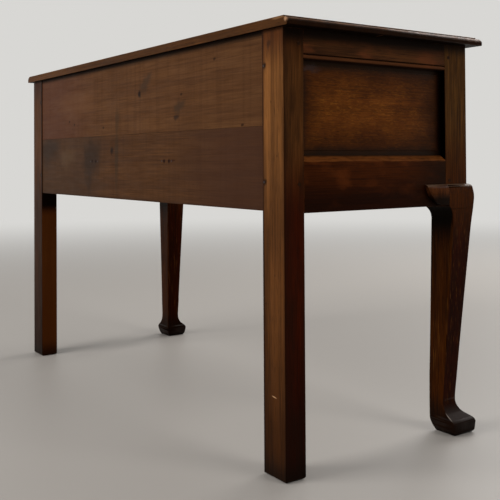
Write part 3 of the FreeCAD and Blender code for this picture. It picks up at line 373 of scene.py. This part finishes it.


# End frames
# Rails tenoned and pegged between the legs. The top one has a scratched bead, the deep bottom one
# a chamfer, and a floating oak panel lies in their grooves. Its edges are darker, and near black
# with painted shade deep in its recess.
PANEL_TONGUE = 7
for index, side in enumerate(SIDES):
    wood = oak(f"polished top rail oak {side}", "Y", "#4c2c14", "#2d180b", index * 4 + 1)
    height = wood.axis("Z")
    wood.lay("#63331a", wood.streaks("Y", 22, 70, 12 + index, 3), 0.5, 0.75, 0.5)
    # Painted shadow under the top's overhang, near black along the rail's upper edge.
    wood.lay("#060302", height, 0.748, 0.774, 0.97)
    wood.lay("#573019", height, 0.7385, 0.736, 0.45)
    # Painted shade at the bead's lower edge, where it turns into the panel's recess.
    wood.lay("#0a0503", height, 0.7325, 0.7305, 0.8)
    end = -END_FACE if side == "left" else END_FACE
    # A painted dark line of shade in the bead's quirk.
    wood.mark("#080302", (end, -10, 738.9), (60, 900, 1.1), 0.9, 0.05)
    rub(wood, "#5a3018", 0.3)
    worn_copy(f"side_top_rail_{side}", 0.6, polish(wood), "carcase_oak")
    wood = oak(f"polished bottom rail oak {side}", "Y", "#3a1703", "#260b01", index * 4 + 2, 0.35)
    height = wood.axis("Z")
    wood.lay("#5a2a0d", wood.streaks("Y", 34, 60, 6 + index, 4), 0.5, 0.75, 0.6)
    wood.lay("#98867c", height, 0.53, 0.462, blend="MULTIPLY")
    wood.lay("#0c0502", wood.axis("Y"), -0.03, -0.16, 0.8)
    # The chamfer's lower edge is a paler orange in a wavy, patchy band: partly worn wood and partly
    # a painted highlight.
    wave = add(wood.tree, "Math", {"operation": "MULTIPLY_ADD",
                                   0: wood.streaks("Y", 8, 40, 4.2, 2), 1: 0.008, 2: height})
    patchy = add(wood.tree, "MapRange", {"Value": wood.streaks("Y", 5, 22, 8.2, 3), "From Min": 0.3,
                                         "From Max": 0.6, "To Min": 0.3})
    wood.lay("#683916", wave, 0.5525, 0.5555, 0.95, patchy)
    # Painted shadow on the chamfer's upper half.
    wood.lay("#120904", height, 0.5565, 0.561, 0.8)
    rub(wood, "#5f3516", 0.4)
    worn_copy(f"side_bottom_rail_{side}", 0.6, polish(wood), "carcase_oak")
    low, high = (list(corner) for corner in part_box(f"side_panel_{side}"))
    for axis in (1, 2):
        low[axis] += PANEL_TONGUE * MM
        high[axis] -= PANEL_TONGUE * MM
    wood = oak(f"polished panel oak {side}", "Y", "#69370e", "#542a07", index * 4 + 3,
               0.35, 0.3, 13)
    ripple = wood.streaks("Y", 2.6, 16, 2 + index, 3, 1.5)
    wood.lay("#804d16", ripple, 0.5, 0.72, 0.6)
    wood.lay("#382008", ripple, 0.48, 0.3, 0.55)
    wood.lay("#cfc4b6", wood.streaks("Y", 40, 60, 5 + index, 3), 0.4, 0.7, 0.9, blend="MULTIPLY")
    # The panel darkens broadly towards its edges, then goes near black with painted shade deep in
    # its recess.
    wood.grime_and_shade_edges("#7c6a56", (low, high), 80, 0.9, "MULTIPLY")
    wood.grime_and_shade_edges("#0e0907", (low, high), 24, 0.85)
    # Painted shade: the panel is darker towards the front end.
    wood.lay("#c4c0c8", wood.axis("Y"), -0.02, -0.15, blend="MULTIPLY")
    # A painted bluish reflection near the panel's upper back corner.
    wood.mark("#2c2c31", (end, 170, 716), (40, 26, 10), 0.35, 0.8)
    worn_copy(f"side_panel_{side}", 0.5, polish(wood, 0.34, 0.12), "carcase_oak")


# Front frame
# A narrow top rail and a deep bottom rail, with two uprights stub-tenoned between them.
for index, node in enumerate(("front_top_rail", "front_bottom_rail", "drawer_divider_left",
                              "drawer_divider_right")):
    wood = oak(f"polished front oak {index + 1}", "Z" if "divider" in node else "X", "#53301a",
               "#341b0d", index + 8)
    rub(wood, "#6b4122", 0.5)
    worn_copy(node, 0.8, polish(wood), "carcase_oak")


# Back boards
# Two wide plain oak boards let into the back legs. They were never polished, only darkened by age,
# with knots, a few old marks, and the lower board greyer where damp has reached its end.
low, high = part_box("back_board_lower")[0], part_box("back_board_upper")[1]


def board(name, light, dark, shift):
    """Plain oak with faint upright bands, 14 mm wide, where an oily cloth was drawn across."""
    wood = oak(name, "X", light, dark, shift, 0.14, 0.5, 18)
    wood.lay("#d6d0cc", wood.streaks("Z", 14, 260, shift + 5, 3), 0.42, 0.7, 0.4, blend="MULTIPLY")
    wood.lay("#b0a296", wood.streaks("X", 4, 85, shift + 9, 4), 0.45, 0.7, 0.35, blend="MULTIPLY")
    wood.grime_and_shade_edges("#2a1a12", (low, high), 8, 0.6)
    return wood


wood = board("dry back board oak upper", "#5a3b22", "#4c301b", 2.4)
across = wood.axis("X")
wood.lay("#4a2c22", across, 0.10, 0.44, 0.6)
# Painted shadow of the top's overhang along the upper board's top edge.
wood.lay("#120b07", wood.axis("Z"), 0.768, 0.781, 0.9)
wood.mark("#65432a", (300, BOARD_BACK, 700), (170, 40, 50), 0.3)
wood.mark("#33261a", (54, BOARD_BACK, 640), (16, 40, 60), 0.5, 0.8)
wood.mark("#35271c", (-92, BOARD_BACK, 724), (42, 40, 22), 0.65, 0.8, -28)
wood.mark("#17100c", (-62, BOARD_BACK, 703), (10, 40, 11), 1, 0.4, -50)
wood.mark("#37281c", (-240, BOARD_BACK, 664), (34, 40, 18), 0.75, 0.8, -10)
wood.mark("#251912", (-228, BOARD_BACK, 643), (16, 40, 9), 0.85, 0.6)
for x, z in ((342, 657), (309, 648), (130, 634), (-379, 750), (-474, 618), (-250, 690)):
    wood.mark("#20110a", (x, BOARD_BACK, z), (7, 40, 4.5), 0.85, 0.6)
rub(wood, "#5c3f28", 0.3)
worn_copy("back_board_upper", 0.3, polish(wood, 0.5, 0.04, 0.5), "back_oak")

wood = board("dry back board oak lower", "#51341d", "#432a18", 5.1)
across = wood.axis("X")
wood.lay("#3c251b", across, -0.16, -0.46, 0.65)
wood.lay("#392a20", across, 0.06, 0.26, 0.5)
wood.mark("#241c17", (205, BOARD_BACK, 548), (70, 40, 95), 0.65, 0.9)
wood.mark("#2a211c", (490, BOARD_BACK, 580), (100, 40, 55), 0.7, 0.8)
wood.mark("#513c29", (357, BOARD_BACK, 560), (70, 40, 42), 0.5, 0.8)
wood.mark("#2f2419", (58, BOARD_BACK, 555), (15, 40, 110), 0.6, 0.6)
wood.mark("#1b130e", (83, BOARD_BACK, 577), (12, 40, 13), 0.9, 0.5)
for x in (-196.5, -175.5, 175.5, 196.5):
    wood.mark("#180603", (x, BOARD_BACK, 552), (7, 40, 6.5), 1, 0.2)
wood.mark("#2b130c", (-212, BOARD_BACK, 553), (16, 40, 4), 0.8, 0.6)
rub(wood, "#4c3321", 0.3)
worn_copy("back_board_lower", 0.3, polish(wood, 0.5, 0.04, 0.5), "back_oak")


# Inside strips
# Runners, guides, kickers, stops and glue blocks of bare sawn oak.
def carry(node, material):
    """Gives a node whose shape is right as it is its material."""
    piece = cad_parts[node]
    piece.data.materials.clear()
    piece.data.materials.append(material)


wood = oak("bare sawn oak", "Y", "#93714c", "#6b4d31", 1.7, 0.5, 0.3)
wood.lay("#5a4029", wood.streaks("X", 60, 200, 3, 3), 0.45, 0.7, 0.5)
bare_oak = polish(wood, 0.62, 0.1, 0.3)
for node in ("runner_left_end", "runner_right_end", "runner_left_middle", "runner_right_middle",
             "drawer_guides", "drawer_kickers", "drawer_stops", "top_glue_blocks"):
    carry(node, bare_oak)


# Top
# Two boards edge to edge, with a step and an ovolo along the front and both ends. The back edge is
# square and bare, and its corner is bruised.
for index, node in enumerate(("top_front_board", "top_back_board")):
    wood = oak(f"waxed top oak {index + 1}", "X", "#664122", "#452a14", index * 3 + 0.6)
    rim = wood.lay("#d2cabb", wood.axis("Z", "Normal"), 0.8, 0.4, blend="MULTIPLY")
    end_grain = add(wood.tree, "Math", {"operation": "ABSOLUTE", 0: wood.axis("X", "Normal")})
    wood.lay("#665850", end_grain, 0.3, 0.6, 1, rim, "MULTIPLY")
    # Painted shade: the faces that look down go near black.
    wood.lay("#080403", wood.axis("Z", "Normal"), -0.4, -0.8, 0.95)
    if index:
        wood.mark("#a9805f", (-622, 250, 793), (7, 5, 6), 0.9)
        wood.mark("#8a6644", (-600, 250, 797), (26, 5, 3), 0.6)
    rub(wood, "#8a6240", 0.7)
    worn_copy(node, 1.0, polish(wood, 0.46, 0.05, 0.25), "top_oak")


# Pegs and nails
# Whittled oak pegs driven through the tenons, and square wrought nails, black with age.
wood = oak("whittled peg oak end grain", "X", "#2e1a0d", "#1a0d06", 9)
carry("frame_pegs", polish(wood))
iron = Finish("wrought iron black with age", "#100706")
rust = add(iron.tree, "TexNoise", {"Vector": iron.place, "Scale": 900, "Detail": 3})
iron.lay("#2a1610", rust, 0.4, 0.65)
shader = add(iron.tree, "BsdfPrincipled", {"Base Color": iron.colour, "Roughness": 0.7})
add(iron.tree, "OutputMaterial", {"Surface": shader})
carry("back_nails", iron.material)


# Drawers
# Dovetailed boxes: polished oak fronts edged with a cock bead, and bare oak sides, backs and
# bottoms. The beads are as small as wear would leave them, so none of their edges is rounded.
NO_EDGE = 1000
for index, name in enumerate(DRAWERS):
    body = f"{name}_drawer"
    wood = oak(f"polished drawer front oak {name}", "X", "#68401f", "#3f2310", index * 2 + 4.5,
               0.5, 0.4, 18)
    wood.grime_and_shade_edges("#1c0f09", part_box(f"{name}_drawer_front"), 16, 0.6)
    rub(wood, "#7c5029", 0.5)
    front_oak = polish(wood, 0.36, 0.14)
    worn_copy(f"{name}_drawer_front", 0.6, front_oak, "carcase_oak", body)
    worn_copy(f"{name}_drawer_bead", 0.3, front_oak, "carcase_oak", body, shortest=NO_EDGE)
    for part in ("left_side", "right_side", "back", "bottom"):
        carry(f"{name}_drawer_{part}", bare_oak)


# Drop handles
# Cast brass, dull in patches: a filed backplate, two turned posts, and a swan-necked bail that
# hangs from them and swells where fingers hook it.
brass = Finish("cast brass rubbed and dulled", "#a8834a")
tarnish = add(brass.tree, "TexNoise", {"Vector": brass.place, "Scale": 140, "Detail": 4})
brass.lay("#5f4622", tarnish, 0.42, 0.7, 0.8)
dull = add(brass.tree, "MapRange", {"Value": tarnish, "From Min": 0.35, "From Max": 0.7,
                                    "To Min": 0.26, "To Max": 0.5})
bump = add(brass.tree, "Bump", {"Height": tarnish, "Distance": 0.0002, "Strength": 0.3})
shader = add(brass.tree, "BsdfPrincipled", {"Base Color": brass.colour, "Metallic": 1.0,
                                            "Roughness": dull, "Normal": bump})
add(brass.tree, "OutputMaterial", {"Surface": shader})

# Where the handles stand: the plates' faces and the bails' pins forward of the frame's middle,
# the height, the distance from post to post, and the middle of each handle along the front.
PLATE_FACE = -226.5
PIN_LINE = -238.5
HANDLE_HEIGHT = 662.4
HANDLE_SPREAD = 70
HANDLE_PLACES = (-372, 0, 372)

# A post, turned from the rod: how far each step stands out from the plate, and its radius.
POST_STEPS = ((0, 6.4), (1.1, 6.4), (1.8, 5.9), (2.4, 4.7), (3.0, 3.4), (4.6, 2.9), (6.4, 2.9),
              (7.4, 3.3), (8.0, 3.1), (8.6, 3.7), (9.4, 4.3), (10.3, 4.7), (11.2, 4.95),
              (12.0, 5.0), (13.0, 4.9), (14.0, 4.55), (15.0, 3.95), (15.9, 3.05), (16.6, 1.8),
              (16.9, 0.6))
bpy.ops.mesh.primitive_circle_add(vertices=32, radius=POST_STEPS[0][1] * MM, fill_type="NGON",
                                  location=(0, PLATE_FACE * MM, HANDLE_HEIGHT * MM),
                                  rotation=(math.radians(90), 0, 0))
post = bpy.context.object
bpy.ops.object.transform_apply(location=True, rotation=True)
bpy.ops.object.mode_set(mode="EDIT")
bpy.ops.mesh.select_all(action="SELECT")
for (start, before), (stop, after) in zip(POST_STEPS, POST_STEPS[1:]):
    bpy.ops.mesh.extrude_region_move(TRANSFORM_OT_translate={"value": (0, (start - stop) * MM, 0)})
    bpy.ops.transform.resize(value=(after / before, 1, after / before),
                             center_override=(0, (PLATE_FACE - stop) * MM, HANDLE_HEIGHT * MM))
bpy.ops.mesh.select_all(action="SELECT")
bpy.ops.mesh.normals_make_consistent(inside=False)
bpy.ops.object.mode_set(mode="OBJECT")
bpy.ops.object.shade_smooth_by_angle(angle=math.radians(50))
post.select_set(False)

# Behind the drawer front, the post's shank ends in a square nut.
NUT_MIDDLE, NUT_WIDTH, NUT_THICKNESS = -205.25, 10, 3.5
SHANK_MIDDLE, SHANK_RADIUS, SHANK_LENGTH = -213.2, 2.4, 23
bpy.ops.mesh.primitive_cube_add(size=1, location=(0, NUT_MIDDLE * MM, HANDLE_HEIGHT * MM),
                                scale=(NUT_WIDTH * MM, NUT_THICKNESS * MM, NUT_WIDTH * MM))
nut = bpy.context.object
bpy.ops.object.transform_apply(location=True, scale=True)
bevel = nut.modifiers.new("Filed corners", "BEVEL")
bevel.width = 0.8 * MM
bevel.segments = 2
bpy.ops.object.modifier_apply(modifier=bevel.name)
nut.select_set(False)
bpy.ops.mesh.primitive_cylinder_add(vertices=20, radius=SHANK_RADIUS * MM, depth=SHANK_LENGTH * MM,
                                    location=(0, SHANK_MIDDLE * MM, HANDLE_HEIGHT * MM),
                                    rotation=(math.radians(90), 0, 0))
shank = bpy.context.object
bpy.ops.object.transform_apply(location=True, rotation=True)
bevel = shank.modifiers.new("Rounded tip", "BEVEL")
bevel.width = 0.7 * MM
bevel.segments = 2
bpy.ops.object.modifier_apply(modifier=bevel.name)
bpy.ops.object.shade_smooth_by_angle(angle=math.radians(40))
post.select_set(True)
nut.select_set(True)
bpy.context.view_layer.objects.active = post
bpy.ops.object.join()
post.select_set(False)

# Half of the bail, from a pin to the middle of the grip: across, up, and how much its rod swells.
ROD_RADIUS = 2.2
BAIL_HALF = ((38, 0, 1), (31, 0, 1), (25.5, -0.6, 1), (21.2, -5, 1), (21.6, -10.5, 1),
             (26.6, -17, 1), (28.9, -24.5, 1), (26.4, -32.4, 1), (19.5, -36.3, 1.15),
             (12, -36.4, 1.45), (4, -36.4, 1.8))
bpy.ops.curve.primitive_nurbs_path_add()
bail = bpy.context.object
rod = bail.data
rod.splines.clear()
rod.dimensions = "3D"
spline = rod.splines.new("NURBS")
path = list(BAIL_HALF) + [(-across, rise, swell) for across, rise, swell in BAIL_HALF[::-1]]
spline.points.add(len(path) - 1)
for point, (across, rise, swell) in zip(spline.points, path):
    point.co = (across * MM, PIN_LINE * MM, (HANDLE_HEIGHT + rise) * MM, 1)
    point.radius = swell
spline.order_u = 3
spline.use_endpoint_u = True
rod.resolution_u = 6
rod.bevel_depth = ROD_RADIUS * MM
rod.bevel_resolution = 4
rod.use_fill_caps = True
bpy.ops.object.convert(target="MESH")
bpy.ops.object.shade_smooth_by_angle(angle=math.radians(50))
bail.select_set(False)


def copies(model, *shifts):
    """Copies of a model with a mesh each, moved along X, joined as one piece."""
    made = []
    for shift in shifts:
        mesh = model.data.copy()
        mesh.transform(Matrix.Translation((shift * MM, 0, 0)))
        made.append(bpy.data.objects.new(model.name, mesh))
        bpy.context.collection.objects.link(made[-1])
        made[-1].select_set(True)
    bpy.context.view_layer.objects.active = made[0]
    if len(made) > 1:
        bpy.ops.object.join()
    made[0].select_set(False)
    return made[0]


for name, place in zip(DRAWERS, HANDLE_PLACES):
    worn_copy(f"{name}_handle_plate", 0.5, brass.material, "brass", f"{name}_drawer", shortest=1)
    posts = copies(post, place - HANDLE_SPREAD / 2, place + HANDLE_SPREAD / 2)
    posts.name = f"{name}_handle_posts_turned"
    finish_piece(posts, brass.material, "brass", f"{name}_drawer", f"{name}_handle_posts")
    hung = copies(bail, place)
    hung.name = f"{name}_handle_bail_bent"
    finish_piece(hung, brass.material, "brass", f"{name}_bail", f"{name}_handle_bail")
for model in (post, bail):
    bpy.data.objects.remove(model)


# Floor and light
# A plain pale floor that fades into a pale surround, and soft lamps at a plain level: two behind
# the dresser and at its end, as in the photograph, and one in front so that the drawers show.
SURROUND = "#d8d7d4"
paint = Finish("pale matt floor", "#a59f98")
reach = add(paint.tree, "VectorMath", {"operation": "LENGTH", 0: paint.place}, "Value")
matt = add(paint.tree, "BsdfPrincipled", {"Base Color": paint.colour, "Roughness": 0.5,
                                          "Specular IOR Level": 0.3})
beyond = add(paint.tree, "Emission", {"Color": linear(SURROUND), "Strength": 1.0})
fade = add(paint.tree, "MapRange", {"interpolation_type": "SMOOTHSTEP", "Value": reach,
                                    "From Min": 1.4, "From Max": 6.0})
either = add(paint.tree, "MixShader", {0: fade, 1: matt, 2: beyond})
add(paint.tree, "OutputMaterial", {"Surface": either})
bpy.ops.mesh.primitive_circle_add(vertices=96, radius=14, fill_type="NGON", location=(0, 0, 0))
floor = bpy.context.object
floor.name = "floor"
floor.data.materials.append(paint.material)
floor.select_set(False)

world = bpy.data.worlds.new("surround")
bpy.context.scene.world = world
world.use_nodes = True
tree = world.node_tree
tree.nodes.clear()
rays = [add(tree, "LightPath", {}, f"Is {kind} Ray")
        for kind in ("Camera", "Glossy", "Transmission")]
seen = add(tree, "Math", {"operation": "MAXIMUM", 0: rays[0], 1: rays[1]})
seen = add(tree, "Math", {"operation": "MAXIMUM", 0: seen, 1: rays[2]})
lit = add(tree, "Background", {"Color": linear("#f0f0f2"), "Strength": 0.42})
shown = add(tree, "Background", {"Color": linear(SURROUND), "Strength": 1})
either = add(tree, "MixShader", {0: seen, 1: lit, 2: shown})
add(tree, "OutputWorld", {"Surface": either})


DRESSER_MIDDLE = Vector((0, 0, 0.45))


def lamp(name, place, size, power):
    """A square soft white lamp that looks at the middle of the dresser."""
    light = bpy.data.lights.new(name, "AREA")
    light.size = size
    light.energy = power
    thing = bpy.data.objects.new(name, light)
    bpy.context.collection.objects.link(thing)
    thing.location = place
    aim = DRESSER_MIDDLE - Vector(place)
    thing.rotation_euler = aim.to_track_quat("-Z", "Y").to_euler()


lamp("window_behind", (0.5, 3.2, 2.2), 1.8, 92)
lamp("window_end", (-3.2, -0.9, 2.7), 1.4, 40)
lamp("room_front", (0.6, -3.2, 2.3), 2.0, 70)


# Camera
# At the photograph's viewing angle, all but level, with the lens raised to keep uprights upright.
# The focus and the middle are in pixels of a square picture, and the angles in radians.
PICTURE, SENSOR = 500, 36
focus, middle_x, middle_y = 822.5, 255.6, 148.2
yaw, pitch, roll = -0.6132, -0.0143, -0.0058
eye = (-1.7275, 1.0915, 0.5534)
forward = Vector((math.cos(pitch) * math.cos(yaw), math.cos(pitch) * math.sin(yaw),
                  -math.sin(pitch)))
right = forward.cross(Vector((0, 0, 1))).normalized()
up = right.cross(forward)
across = right * math.cos(roll) + up * math.sin(roll)
upward = up * math.cos(roll) - right * math.sin(roll)
lens = bpy.data.cameras.new("camera")
lens.sensor_width = SENSOR
lens.lens = focus / PICTURE * SENSOR
lens.shift_x = (PICTURE / 2 - middle_x) / PICTURE
lens.shift_y = (middle_y - PICTURE / 2) / PICTURE
camera = bpy.data.objects.new("camera", lens)
bpy.context.collection.objects.link(camera)
camera.matrix_world = Matrix.Translation(eye) @ Matrix(
    (across, upward, -forward)).transposed().to_4x4()
bpy.context.scene.camera = camera
bpy.context.scene.view_settings.view_transform = "Standard"
